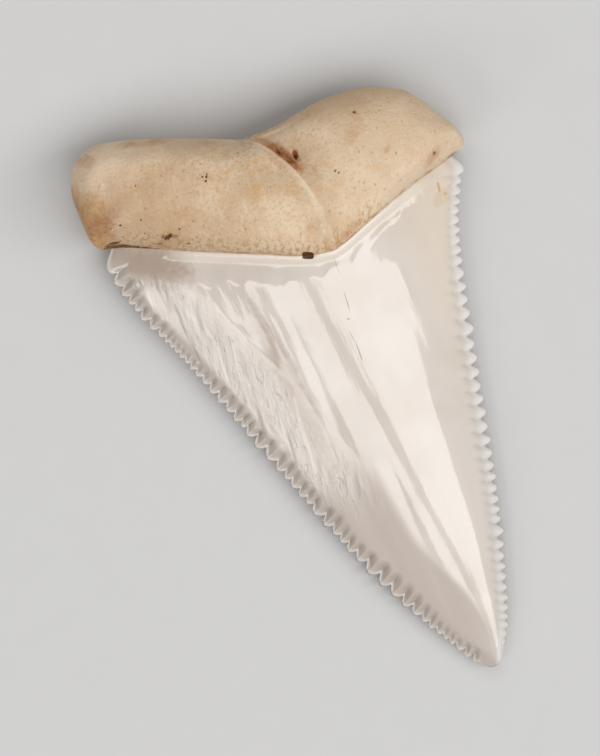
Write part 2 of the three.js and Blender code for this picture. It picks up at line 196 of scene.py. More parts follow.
def ramp(low, high, value):
    """0 below low, 1 above high, and a smooth rise between them."""
    q = np.clip((value - low) / (high - low), 0, 1)
    return q * q * (3 - 2 * q)


def quarter_round(q, squareness=2):
    """A quarter circle from 0 to 1, or a squarer curve."""
    return (1 - (1 - np.clip(q, 0, 1)) ** squareness) ** (1 / squareness)


def along(values, share):
    """A value between evenly spaced ones, along a smooth line."""
    line = spline([(i, v) for i, v in enumerate(values)])
    return np.interp(np.asarray(share) * (len(values) - 1), line[:, 0], line[:, 1])


def distance_to(line, points):
    """Distance from plan points to a line of plan points."""
    start, way = line[:-1], np.diff(line, axis=0)
    length2 = np.maximum((way**2).sum(1), 1e-12)
    least = np.full(points.shape[:-1], np.inf)
    for s, w, l2 in zip(start, way, length2):
        share = np.clip(((points - s) @ w) / l2, 0, 1)
        gap = points - s - share[..., None] * w
        least = np.minimum(least, np.hypot(gap[..., 0], gap[..., 1]))
    return least


EDGES = {"left": Line(LEFT_EDGE), "right": Line(RIGHT_EDGE)}
OUTLINE = {
    "left": Line(ROOT_LEFT),
    "top_left": Line(ROOT_TOP_LEFT),
    "top_right": Line(ROOT_TOP_RIGHT),
    "right": Line(ROOT_RIGHT),
}
WIDTH_AT_ROOT = float(np.linalg.norm(EDGES["left"].at(1) - EDGES["right"].at(1)))


# Uneven forms

def lattice_noise(x, y, seed):
    """Smooth noise from -1 to 1 over plan places given in units of its own grid."""
    size = 64
    grid = np.random.default_rng(seed).uniform(-1, 1, (size, size))
    cell_x, cell_y = np.floor(x).astype(int), np.floor(y).astype(int)
    part_x, part_y = x - cell_x, y - cell_y
    ease_x = part_x * part_x * (3 - 2 * part_x)
    ease_y = part_y * part_y * (3 - 2 * part_y)

    def corner(i, j):
        return grid[(cell_x + i) % size, (cell_y + j) % size]

    low = lerp(corner(0, 0), corner(1, 0), ease_x)
    high = lerp(corner(0, 1), corner(1, 1), ease_x)
    return lerp(low, high, ease_y)


# Serrations

def serrate(edge, pitches):
    """The ends of the serrations of one edge, as distances from the tip."""
    distances, lengths = zip(*pitches)
    cuts = [0.0]
    while cuts[-1] < edge.length:
        cuts.append(cuts[-1] + float(np.interp(cuts[-1], distances, lengths)))
    return np.array(cuts) * edge.length / cuts[-1]


PITCHES = {"left": LEFT_SERRATIONS, "right": RIGHT_SERRATIONS}
CUTS = {side: serrate(EDGES[side], PITCHES[side]) for side in EDGES}


def serration_at(side, t, inward):
    """The outline's rise, the hollow behind it and the size of the serration beside an edge."""
    distance = t * EDGES[side].length - RIDGE_LEAN * inward
    index = np.clip(np.searchsorted(CUTS[side], distance) - 1, 0, len(CUTS[side]) - 2)
    start, end = CUTS[side][index], CUTS[side][index + 1]
    power = lerp(SERRATION_LEAN, CORNER_LEAN, ramp(1.5, 1.7, end - start))
    lean = np.clip((distance - start) / (end - start), 0, 1) ** power
    uneven = 1 + UNEVENNESS * np.sin(2.3 * index)
    rise = np.sin(np.pi * lean)
    hollow = np.abs(np.cos(np.pi * lean))
    size = uneven * np.minimum(end - start, DEEPEST_LENGTH) * ramp(0, BLUNT_TIP[side], distance)
    return rise, hollow, size


def hollow_reach(side, t):
    distance = t * EDGES[side].length
    distances, lengths = zip(*PITCHES[side])
    pitch = np.minimum(np.interp(distance, distances, lengths), DEEPEST_LENGTH)
    return HOLLOW_REACH * pitch * ramp(0, BLUNT_TIP[side], distance)


def ridge(off, roundness):
    return 1 - (off**2 * (1 + roundness)) / (off + roundness)


# The two faces

class Face:
    """The lines of one face: the swollen one that is up or the flat one that is down."""

    def __init__(self, up, lines):
        self.up = up
        self.enamel_left = Line(lines["enamel_left"])
        self.enamel_right = Line(lines["enamel_right"])
        self.fold = Line(lines["fold"])
        self.enamel_points = self.enamel_line(np.linspace(0, 1, 121))

    def enamel_line(self, s):
        left = self.enamel_left.at(np.clip(s / FOLD_SHARE, 0, 1))
        right = self.enamel_right.at(np.clip((s - FOLD_SHARE) / (1 - FOLD_SHARE), 0, 1))
        return np.where((s <= FOLD_SHARE)[..., None], left, right)


FACES = [Face(True, UP_LINES), Face(False, DOWN_LINES)]


def collar_relief(below_root, s):
    """The raised collar of enamel below the root, and below the collar a shallow trough whose far
    side is uneven."""
    grow, grown, fading, gone = COLLAR_ENDS
    collar = 1 - np.clip((below_root - 0.3) / (COLLAR_WIDTH - 0.3), 0, 1) ** 1.8
    collar = collar * ramp(grow, grown, s)
    across = s * WIDTH_AT_ROOT
    uneven = 1 + 0.4 * lattice_noise(0.45 * across, 0 * across, 14)
    uneven = uneven + 0.4 * lattice_noise(1.3 * across, 0 * across, 15)
    reach = TROUGH_WIDTH * uneven * lerp(1.6, 1, ramp(0.05, 0.3, s))
    trough = (1 - ramp(COLLAR_WIDTH, COLLAR_WIDTH + reach, below_root)) * (1 - collar)
    return (COLLAR_HEIGHT * collar - TROUGH_DEPTH * trough) * (1 - ramp(fading, gone, s))


def crown_points(face, t, s):
    """Points of the crown: t runs from the tip to the enamel line, s from left to right."""
    left, right = EDGES["left"].at(t), EDGES["right"].at(t)
    width = np.linalg.norm(right - left, axis=-1)
    share = np.minimum(s, 1 - s)
    inward = share * width
    on_left = s < 0.5
    parts = {side: serration_at(side, t, inward) for side in EDGES}
    rise, hollow, size = (np.where(on_left, parts["left"][i], parts["right"][i]) for i in range(3))
    reach = np.where(on_left, hollow_reach("left", t), hollow_reach("right", t))
    fade = np.clip(1 - inward / np.maximum(reach, 1e-6), 0, 1)

    plan = lerp(left, right, s[..., None])
    chord = lerp(EDGES["left"].at(1), EDGES["right"].at(1), s[..., None])
    plan = plan + (face.enamel_line(s) - chord) * (t**V_REACH)[..., None]
    plan[..., 1] -= TIP_ARC_DROP * (1 - t) ** 60 * 4 * s * (1 - s)
    tangent = np.where(on_left[..., None], EDGES["left"].tangent(t), EDGES["right"].tangent(t))
    outward = np.stack([-tangent[..., 1], tangent[..., 0]], axis=-1)
    outward = outward * np.where(on_left, 1, -1)[..., None]
    plan = plan + outward * (SERRATION_DEPTH * size * (rise - 0.55) * fade)[..., None]

    edge_height = along(CUTTING_EDGE_HEIGHT, t)
    deepest = np.where(on_left, HOLLOW_DEPTH["left"], HOLLOW_DEPTH["right"])
    scoop = deepest * size * hollow * np.sin(np.pi * fade**1.5) * (1 - ramp(0.93, 0.96, t))
    tip = quarter_round(t * EDGES["left"].length / TIP_ROUNDING)
    if face.up:
        crest = along(CREST_SHARE, t)
        off = np.where(s < crest, 1 - s / crest, (s - crest) / (1 - crest))
        keep = ridge(off, np.where(s < crest, LEFT_ROUNDNESS, RIGHT_ROUNDNESS))
        high = lerp(edge_height, along(CREST_HEIGHT, t), keep) - scoop
        high = high + collar_relief((1 - t) * EDGES["left"].length, s)
    else:
        turn = np.clip(1 - inward / np.minimum(OUTER_BEVEL, 0.42 * width), 0, 1)
        high = edge_height * turn**2 + 0.6 * scoop
    height = np.where((share <= 0) | (t <= 0), edge_height, lerp(edge_height, high, tip))
    return np.concatenate([plan, height[..., None]], axis=-1)


def patch(bottom, top, left, right, u, v):
    """Plan points inside four lines that meet at their ends."""
    u, v = u[..., None], v[..., None]
    across = lerp(bottom.at(u[..., 0]), top.at(u[..., 0]), v)
    upward = lerp(left.at(v[..., 0]), right.at(v[..., 0]), u)
    low = lerp(bottom.at(0), bottom.at(1), u)
    high = lerp(top.at(0), top.at(1), u)
    return across + upward - lerp(low, high, v)


def root_plan(face, r, s):
    u_left = np.clip(s / FOLD_SHARE, 0, 1)
    u_right = np.clip((s - FOLD_SHARE) / (1 - FOLD_SHARE), 0, 1)
    left = patch(face.enamel_left, OUTLINE["top_left"], OUTLINE["left"], face.fold, u_left, r)
    right = patch(face.enamel_right, OUTLINE["top_right"], face.fold, OUTLINE["right"], u_right, r)
    return np.where((s <= FOLD_SHARE)[..., None], left, right)


ROOT_OUTLINE = np.vstack([
    OUTLINE["left"].points[::6],
    OUTLINE["top_left"].points[::6],
    OUTLINE["top_right"].points[::6],
    OUTLINE["right"].points[::-6],
])


def fold_profile(beyond, r):
    """How much of the fold's depth the surface has lost, at a distance right of its line."""
    lip = FOLD_LIP * np.exp(np.minimum(beyond, 0) / 0.45)
    wall = FOLD_WALL * lerp(FOLD_SOFTENING, 1, ramp(0.4, 0.75, r))
    fall = lerp(FOLD_LIP, 1, ramp(0, wall, beyond))
    fade = 0.5 * (1 + np.cos(np.pi * np.clip(beyond / FOLD_WIDTH, 0, 1)))
    crevice = CREVICE_DEPTH * np.exp(-((beyond - FOLD_WALL) / CREVICE_WIDTH) ** 2)
    return np.where(beyond < 0, lip, fall * (fade + crevice))


def root_points(face, r, s):
    """Points of the root, with its lip over the enamel, rounded outline and fold."""
    plan = root_plan(face, r, s)
    rim_side = (s <= 0) | (s >= 1)
    waist = lerp(along(CUTTING_EDGE_HEIGHT, 1.0), ROOT_WAIST_HEIGHT, ramp(0, 0.25, r))
    rim = np.where(rim_side, waist, ROOT_WAIST_HEIGHT)
    inward = distance_to(ROOT_OUTLINE, plan)
    foot = crown_points(face, np.ones_like(s), s)[..., 2]
    middle = 1 - (2 * s - 1) ** 2
    height = ROOT_UNDERSIDE + UNDERSIDE_HOLLOW * middle * ramp(0, 1, r)
    if face.up:
        swell = np.sin(np.pi * (0.25 + 0.6 * r))
        fall = np.where(s < 0.5, LOBE_FALL["left"], LOBE_FALL["right"])
        height = ROOT_HEIGHT + ROOT_SWELL * swell - fall * (1 - middle)
        beyond = (s - FOLD_SHARE) * WIDTH_AT_ROOT
        fold = ramp(0.35, 0.85, r) * ramp(0, 0.6, inward)
        height = height - FOLD_DEPTH * fold * fold_profile(beyond, r)
    turn = LIP_ROUNDING + LIP_SLOPE * np.abs(height - foot)
    lip = quarter_round(distance_to(face.enamel_points, plan) / turn)
    surface = lerp(foot, height, lip)
    rounded = lerp(waist, surface, quarter_round(inward / ROOT_ROUNDING, ROOT_SQUARENESS))
    height = np.where(rim_side | (r >= 1), rim, rounded)
    return np.concatenate([plan, height[..., None]], axis=-1)


# Low relief

# The foramen beside the fold, the nick in the collar and smaller pits: plan places, half sizes
# along and across, turns in degrees and depths.
PITS = [
    ((0.62, 8.7), (0.38, 0.22), 81, 0.5),
    ((-1.71, 1.28), (0.5, 0.28), -25, 0.28),
    ((-10.85, 7.02), (0.32, 0.22), 10, 0.14),
    ((-0.56, 9.31), (0.3, 0.22), -60, 0.4),
    ((0.02, 8.36), (0.26, 0.2), -60, 0.35),
    ((-13.8, 9.34), (0.14, 0.12), 0, 0.1),
    ((-13.9, 15.28), (0.4, 0.26), -30, 0.2),
    ((6.08, 9.78), (0.2, 0.18), 0, 0.15),
]


def pits(plan):
    """How deep the pits are at plan points."""
    depth = np.zeros(plan.shape[:-1])
    for at, (length, width), turn, deepest in PITS:
        cos, sin = math.cos(math.radians(turn)), math.sin(math.radians(turn))
        x, y = plan[..., 0] - at[0], plan[..., 1] - at[1]
        along_it, across_it = (x * cos + y * sin) / length, (y * cos - x * sin) / width
        reach = np.cbrt(np.abs(along_it) ** 3 + np.abs(across_it) ** 3)
        depth += deepest * (1 - ramp(0.45, 1.15, reach))
    return depth


def crown_relief(plan, below_root, from_left, from_right):
    """Long shallow ribs in the enamel, and silky waves beside the left edge."""
    x, y = plan[..., 0], plan[..., 1]
    calm = ramp(1.0, 2.6, from_left) * ramp(1.0, 2.6, from_right) * ramp(0.9, 2.0, below_root)
    ribs = 0.045 * lattice_noise(0.7 * x, 0.06 * y, 11) + 0.016 * lattice_noise(1.4 * x, 0.11 * y, 12)
    band = ramp(1.2, 2.4, from_left) * (1 - ramp(5.5, 7.5, from_left))
    band = band * ramp(-20, -15, y) * (1 - ramp(0.5, 2.6, y))
    waves = 0.035 * lattice_noise(1.2 * x - 0.15 * y, 0.4 * y, 13) * band
    return (ribs + waves) * calm - pits(plan)


def root_relief(face, plan, past):
    """Lumps, shallow dents and pits of the root, calm at its lip and its outline."""
    x, y = plan[..., 0], plan[..., 1]
    inward = distance_to(ROOT_OUTLINE, plan)
    lumps = 0.12 * lattice_noise(0.3 * x + 7, 0.34 * y, 21)
    lumps = lumps + 0.05 * lattice_noise(0.9 * x, 0.9 * y, 22)
    lumps = lumps + 0.022 * lattice_noise(2.3 * x, 2 * y, 23)
    relief = lumps * ramp(0, 0.8, past)
    if face.up:
        relief = relief - pits(plan)
    return relief * ramp(0.1, 1.6, inward)


# The mesh

def crowded(count, crowds):
    """Shares from 0 to 1 that stand closer together near given ones. Each crowd is the share that
    it is at, how far it reaches and how much closer its shares stand."""
    fine = np.linspace(0, 1, 20001)
    density = np.ones_like(fine)
    for at, reach, strength in crowds:
        density += strength * np.exp(-np.abs(fine - at) / reach)
    total = np.concatenate([[0], np.cumsum((density[1:] + density[:-1]) / 2)])
    return np.interp(np.linspace(0, 1, count + 1), total / total[-1], fine)


class Skin:
    """Collects triangles between neighbouring lines of points."""

    def __init__(self):
        self.points = []
        self.count = 0
        self.triangles = []
        self.slots = []

    def line(self, points):
        """Adds a line of points, each with its measures, and gives their numbers."""
        self.points.append(points)
        self.count += len(points)
        return np.arange(self.count - len(points), self.count)

    def join(self, first, second, first_steps, second_steps, slot, flip, second_first=True):
        """Triangles between two lines that have their own steps."""
        i = j = 0
        corners = []
        while i < len(first) - 1 or j < len(second) - 1:
            next_i = first_steps[i + 1] if i + 1 < len(first) else np.inf
            next_j = second_steps[j + 1] if j + 1 < len(second) else np.inf
            if next_j < next_i or (next_j == next_i and second_first):
                corners.append((first[i], second[j], second[j + 1]))
                j += 1
            else:
                corners.append((first[i], second[j], first[i + 1]))
                i += 1
        self.add(np.array(corners), slot, flip)

    def sheet(self, grid, slot, flip):
        """Triangles between lines that share their steps."""
        a, b = grid[:-1, :-1].ravel(), grid[1:, :-1].ravel()
        c, d = grid[1:, 1:].ravel(), grid[:-1, 1:].ravel()
        self.add(np.concatenate([np.stack([a, b, c], 1), np.stack([a, c, d], 1)]), slot, flip)

    def add(self, corners, slot, flip):
        self.triangles.append(corners[:, ::-1] if flip else corners)
        self.slots.append(np.full(len(corners), slot))

    def merged(self):
        """The points without doubles, the triangles without empty ones, and their slots."""
        points = np.vstack(self.points)
        _, first, back = np.unique(
            np.round(points[:, :3], 5), axis=0, return_index=True, return_inverse=True
        )
        triangles = back.ravel()[np.vstack(self.triangles)]
        slots = np.concatenate(self.slots)
        a, b, c = triangles.T
        whole = (a != b) & (b != c) & (c != a)
        return points[first], triangles[whole], slots[whole]


ENAMEL_SLOT = 0
ROOT_SLOT = 1
MEASURES = ("past_enamel", "from_left", "from_right", "past_fold")
NO_FOLD = 99.0


def with_measures(points, past_enamel, s, width, past_fold):
    """Points followed by how far past the enamel line, in from each side and right of the fold
    they are."""
    measures = np.stack([past_enamel, s * width, (1 - s) * width, past_fold], axis=-1)
    return np.concatenate([points, measures], axis=-1)


def strip_share(side, t):
    """The width of the serrated strip along an edge, as a share of the crown's width."""
    width = np.linalg.norm(EDGES["left"].at(t) - EDGES["right"].at(t), axis=-1)
    return np.minimum((hollow_reach(side, t) + 0.1) / width, 0.2)


def add_crown(skin, face):
    """Adds one face of the crown and gives its last row: the points' numbers and their shares."""
    edge_rows = np.linspace(0, 1, EDGE_ROWS + 1)
    blade_rows = crowded(UP_ROWS if face.up else DOWN_ROWS, [(1, 0.03, 2), (0, 0.01, 3)])
    strip = np.linspace(0, 1, STRIP_COLUMNS + 1)
    blade = crowded(BLADE_COLUMNS, [(0, 0.02, 1), (1, 0.02, 1)])
    left_edge, right_edge = strip_share("left", edge_rows), strip_share("right", edge_rows)
    left_blade, right_blade = strip_share("left", blade_rows), strip_share("right", blade_rows)
    groups = [
        (edge_rows, [share * left_edge for share in strip]),
        (blade_rows, [lerp(left_blade, 1 - right_blade, share) for share in blade[1:-1]]),
        (edge_rows, [1 - (1 - share) * right_edge for share in strip]),
    ]
    base, base_shares, last = [], [], None
    for rows, columns in groups:
        lines = []
        width = np.linalg.norm(EDGES["left"].at(rows) - EDGES["right"].at(rows), axis=-1)
        for shares in columns:
            points = crown_points(face, rows, shares)
            below_root = distance_to(face.enamel_points, points[:, :2])
            if face.up:
                from_left, from_right = shares * width, (1 - shares) * width
                points[:, 2] += crown_relief(points[:, :2], below_root, from_left, from_right)
            no_fold = np.full_like(shares, NO_FOLD)
            lines.append(skin.line(with_measures(points, -below_root, shares, width, no_fold)))
            base.append(lines[-1][-1])
            base_shares.append(shares[-1])
        if last is not None:
            skin.join(last[1], lines[0], last[0], rows, ENAMEL_SLOT, not face.up)
        skin.sheet(np.array(lines).T, ENAMEL_SLOT, face.up)
        last = (rows, lines[-1])
    return np.array(base), np.array(base_shares)


def add_root(skin, face):
    """Adds one face of the root and gives its first row: the points' numbers and their shares."""
    fold_crowd = (FOLD_SHARE + 0.004, 0.012, 4)
    pit_crowd = (FOLD_SHARE + 0.045, 0.03, 1)
    columns = crowded(ROOT_COLUMNS, [(0, 0.03, 5), (1, 0.03, 5), fold_crowd, pit_crowd])
    rows = crowded(ROOT_ROWS, [(0, 0.05, 3), (1, 0.05, 5)])
    r, s = np.meshgrid(rows, columns, indexing="ij")
    points = root_points(face, r, s)
    past = distance_to(face.enamel_points, points[..., :2])
    points[..., 2] += root_relief(face, points[..., :2], past)
    past_fold = (s - FOLD_SHARE) * WIDTH_AT_ROOT if face.up else np.full_like(s, NO_FOLD)
    measured = with_measures(points, past, s, WIDTH_AT_ROOT, past_fold)
    numbers = skin.line(measured.reshape(-1, 3 + len(MEASURES))).reshape(r.shape)
    skin.sheet(numbers, ROOT_SLOT, not face.up)
    return numbers[0], columns


def make_tooth():
    """The whole tooth as one closed mesh."""
    skin = Skin()
    for face in FACES:
        base, base_shares = add_crown(skin, face)
        lip, lip_shares = add_root(skin, face)
        skin.join(lip, base, lip_shares, base_shares, ENAMEL_SLOT, not face.up)
    rows, triangles, slots = skin.merged()
    points = (rows[:, :3] - np.array([*ORIGIN, 0])) * MM
    mesh = bpy.data.meshes.new("tooth_surface")
    mesh.from_pydata(points.tolist(), [], triangles.tolist())
    mesh.polygons.foreach_set("material_index", slots.astype(np.int32))
    mesh.polygons.foreach_set("use_smooth", np.ones(len(triangles), bool))
    for name, values in zip(MEASURES, rows[:, 3:].T):
        mesh.attributes.new(name, "FLOAT", "POINT").data.foreach_set("value", values)
    mesh.update()
    tooth = bpy.data.objects.new("tooth_surface", mesh)
    bpy.context.scene.collection.objects.link(tooth)
    return tooth


# Materials

# Marks show from the first of these heights in millimetres and are whole from the second, which
# keeps them off the lower face.
MARKS_BEGIN = (1.9, 2.3)
ENAMEL_IOR = 1.6
ROOT_IOR = 1.15  # lower than real bone has, so that no sheen greys the brown stains


class Wire:
    """A socket of a material, on which sums, products, quotients and limits add Math nodes."""

    def __init__(self, recipe, socket):
        self.recipe = recipe
        self.socket = socket

    def maths(self, operation, first, second):
        return self.recipe.node("Math", {"operation": operation}, {0: first, 1: second})

    def __add__(self, other):
        return self.maths("ADD", self, other)

    def __radd__(self, other):
        return self.maths("ADD", other, self)

    def __sub__(self, other):
        return self.maths("SUBTRACT", self, other)

    def __rsub__(self, other):
        return self.maths("SUBTRACT", other, self)

    def __mul__(self, other):
        return self.maths("MULTIPLY", self, other)

    def __truediv__(self, other):
        return self.maths("DIVIDE", self, other)

    def at_least(self, other):
        return self.maths("MAXIMUM", self, other)

    def at_most(self, other):
        return self.maths("MINIMUM", self, other)


class Recipe:
    """The nodes of one material, with places on the tooth in plan millimetres."""

    def __init__(self, name):
        self.material = bpy.data.materials.new(name)
        self.material.use_nodes = True
        self.nodes = self.material.node_tree.nodes
        self.shader = self.nodes["Principled BSDF"]
        metres = self.node("TexCoord", {}, {}, "Object")
        scaled = self.node("VectorMath", {"operation": "SCALE"}, {0: metres, "Scale": 1 / MM})
        self.place = self.node("VectorMath", {"operation": "ADD"}, {0: scaled, 1: (*ORIGIN, 0)})
        self.x, self.y, self.height = (
            self.node("SeparateXYZ", {}, {0: self.place}, axis) for axis in "XYZ"
        )

    def node(self, kind, settings, inputs, output=0):
        """Adds a node: its settings first, then the values or links of its sockets."""
        node = self.nodes.new("ShaderNode" + kind)
        for name, value in settings.items():
            setattr(node, name, value)
        for name, value in inputs.items():
            self.plug(node.inputs[name], value)
        return Wire(self, node.outputs[output])

    def plug(self, socket, value):
        if isinstance(value, Wire):
            self.material.node_tree.links.new(value.socket, socket)
        else:
            socket.default_value = value

    def finish(self, colour, roughness, normal, ior):
        self.plug(self.shader.inputs["Base Color"], colour)
        self.plug(self.shader.inputs["Roughness"], roughness)
        self.plug(self.shader.inputs["Normal"], normal)
        self.plug(self.shader.inputs["IOR"], ior)
        return self.material

    def measure(self, name):
        """A length in millimetres that the mesh carries."""
        return self.node("Attribute", {"attribute_name": name}, {}, "Fac")

    def rise(self, low, high, value):
        """0 at low, 1 at high, and a smooth change between them."""
        inputs = {"Value": value, "From Min": low, "From Max": high}
        return self.node("MapRange", {"interpolation_type": "SMOOTHSTEP"}, inputs)

    def stretched(self, across, along_tooth, up=1.0):
        """The place on the tooth, with its three directions shrunk or stretched."""
        inputs = {0: self.place, 1: (across, along_tooth, up)}
        return self.node("VectorMath", {"operation": "MULTIPLY"}, inputs)

    def noise(self, scale, detail=3.0, place=None, roughness=0.5, distortion=0.0):
        """Cloudy noise around 0.5, with so many clouds to a millimetre."""
        inputs = {"Vector": place or self.place, "Scale": scale, "Detail": detail}
        inputs |= {"Roughness": roughness, "Distortion": distortion}
        return self.node("TexNoise", {}, inputs)

    def vague(self, reach):
        """Small uneven shifts of place."""
        shift = self.node("TexNoise", {}, {"Vector": self.place, "Scale": 1.5}, "Color")
        return self.node("VectorMath", {"operation": "SCALE"}, {0: shift, "Scale": reach})

    def cells(self, scale, place=None):
        """The distance to the nearest of scattered points, and that point's own random value."""
        inputs = {"Vector": place or self.place, "Scale": scale}
        reach = self.node("TexVoronoi", {}, inputs, "Distance")
        colour = self.node("TexVoronoi", {}, inputs, "Color")
        return reach, self.node("SeparateColor", {}, {0: colour})

    def blend(self, first, second, share):
        """The first colour where share is 0 and the second where it is 1."""
        return self.node("Mix", {"data_type": "RGBA"}, {0: share, 6: first, 7: second}, 2)

    def bump(self, height, distance, below=None):
        """Relief of so many millimetres, on top of other relief."""
        inputs = {"Height": height, "Distance": distance * MM, "Strength": 1.0}
        if below:
            inputs["Normal"] = below
        return self.node("Bump", {}, inputs)

    def spots(self, marks, unevenness=0.35, crispness=0.9, boxy=False):
        """Uneven spots at plan places: 1 inside and 0 outside. Each has half its length and width,
        its turn in degrees and its strength."""
        wander = (self.noise(2.2, 4.0) - 0.5) * (2 * unevenness)
        total = 0.0
        for (x, y), (length, width), turn, strength in marks:
            cos, sin = math.cos(math.radians(turn)), math.sin(math.radians(turn))
            off_x, off_y = self.x - x, self.y - y
            along_it = (off_x * cos + off_y * sin) / length
            across_it = (off_y * cos - off_x * sin) / width
            reach = along_it * along_it + across_it * across_it
            if boxy:
                square_along, square_across = along_it * along_it, across_it * across_it
                reach = square_along * square_along + square_across * square_across
            reach = reach + wander * 2
            total = (self.rise(1.5, 1.5 - crispness, reach) * strength).at_least(total)
        return total * self.rise(*MARKS_BEGIN, self.height)


def colour(red, green, blue):
    """A colour that is named by its values from 0 to 255 on a screen."""
    parts = (value / 255 for value in (red, green, blue))
    return (*(p / 12.92 if p <= 0.04045 else ((p + 0.055) / 1.055) ** 2.4 for p in parts), 1)


# Marks, as plan places, half sizes along and across, turns in degrees and strengths. The first three
# lists are stains of the root, the third also painted shade at its left end, and the next two are
# stains and cracks of the enamel.
BROWN_SPOTS = [
    ((-10.85, 7.02), (0.3, 0.19), 10, 1.0),
    ((-10.35, 6.85), (0.32, 0.12), -20, 0.5),
    ((-11.2, 7.2), (0.16, 0.1), 30, 0.6),
    ((-6.55, 10.08), (0.09, 0.07), 0, 0.9),
    ((-6.28, 9.95), (0.11, 0.08), 50, 1.0),
    ((-6.45, 9.68), (0.09, 0.08), 0, 0.9),
    ((-6.15, 10.15), (0.06, 0.06), 0, 0.8),
    ((-13.8, 9.34), (0.1, 0.08), 0, 0.9),
    ((-12.2, 9.05), (0.06, 0.08), 0, 0.8),
    ((-14.6, 9.4), (0.07, 0.06), 0, 0.8),
    ((-12.35, 8.0), (0.07, 0.06), 0, 0.7),
    ((-9.8, 7.2), (0.07, 0.08), 0, 0.8),
    ((-8.6, 7.3), (0.06, 0.06), 0, 0.7),
    ((-8.85, 6.05), (0.08, 0.07), 0, 0.8),
    ((-9.65, 5.9), (0.22, 0.06), -25, 0.7),
    ((-11.6, 6.8), (0.2, 0.06), -10, 0.6),
    ((-3.3, 10.6), (0.06, 0.05), 0, 0.8),
    ((-11.5, 11.6), (0.1, 0.06), 60, 0.6),
    ((-14.8, 8.35), (0.5, 0.08), -12, 0.9),
    ((-13.9, 15.28), (0.24, 0.16), -30, 0.2),
    ((-0.56, 9.31), (0.24, 0.15), -60, 0.95),
    ((0.02, 8.36), (0.22, 0.13), -60, 0.9),
    ((2.88, 6.3), (0.12, 0.07), 30, 0.8),
    ((3.06, 6.04), (0.09, 0.07), 0, 0.8),
    ((6.08, 9.78), (0.11, 0.1), 0, 0.9),
    ((10.35, 4.4), (0.14, 0.12), 0, 0.7),
]
OCHRE_SPOTS = [
    ((5.39, 8.45), (1.5, 0.7), 40, 0.5),
    ((-0.4, 8.9), (1.9, 0.7), -62, 0.9),
    ((-10.7, 7.0), (1.3, 0.8), 10, 0.7),
    ((-6.42, 9.92), (0.7, 0.6), 0, 0.45),
    ((-5.2, 9.5), (0.5, 0.8), 0, 0.5),
    ((-15.5, 10.2), (1.3, 2.6), 0, 1.0),
    ((-16.0, 12.6), (0.6, 1.6), 0, 0.5),
    ((7.2, 6.15), (0.5, 0.2), 40, 0.8),
    ((10.1, 4.2), (1.0, 0.35), 35, 0.9),
    ((-8.9, 14.1), (1.7, 0.3), -15, 0.55),
    ((-10.9, 14.8), (1.0, 0.3), -15, 0.5),
    ((-14.2, 14.9), (1.1, 0.5), -30, 0.45),
    ((1.46, 6.9), (0.6, 0.25), 80, 0.6),
    ((1.6, 1.55), (1.9, 0.3), 18, 0.8),
    ((-1.9, 1.8), (0.6, 0.22), -25, 0.8),
]
GRIME_AND_SHADE = [
    ((-14.9, 10.1), (1.9, 1.0), 25, 1.0),
    ((-16.2, 12.4), (1.4, 0.35), 90, 0.7),
    ((-14.25, 14.95), (0.7, 0.4), -30, 0.2),
    ((-10.7, 13.6), (1.1, 0.5), -20, 0.35),
    ((-8.7, 14.05), (0.9, 0.22), -20, 0.45),
    ((-10.4, 14.6), (0.7, 0.25), -20, 0.4),
    ((-11.0, 6.6), (2.4, 0.4), -20, 0.3),
]
ENAMEL_STAINS = [
    ((9.64, 1.9), (0.42, 0.1), 80, 0.9),
    ((9.9, 1.25), (0.16, 0.12), 0, 0.8),
    ((9.5, 1.1), (0.8, 0.5), 30, 0.25),
]
CRACKS = [
    ((-0.03, -0.35), (0.75, 0.03), 87, 0.5),
    ((-0.46, -3.2), (0.8, 0.04), 82, 0.8),
    ((-0.9, -4.42), (0.1, 0.07), 0, 0.8),
    ((-1.2, -5.8), (0.55, 0.035), 95, 0.6),
    ((-1.2, -7.05), (0.8, 0.045), 85, 1.0),
]
# The amber inside of the foramen and its dark depth, the dark nick in the collar, and painted
# shade on the enamel: at its left corner below the root and in a streak down the blade.
HOLE = [((0.62, 8.7), (0.35, 0.2), 81, 1.0)]
HOLE_SHADE = [((0.56, 8.5), (0.2, 0.13), 81, 1.0)]
NICK = [((-1.71, 1.28), (0.44, 0.26), -25, 1.0)]
PAINTED_SHADES = [((-13.2, 5.6), (3.6, 1.7), -35, 1.0), ((-7.0, -7.0), (7.5, 0.9), 92, 0.6)]


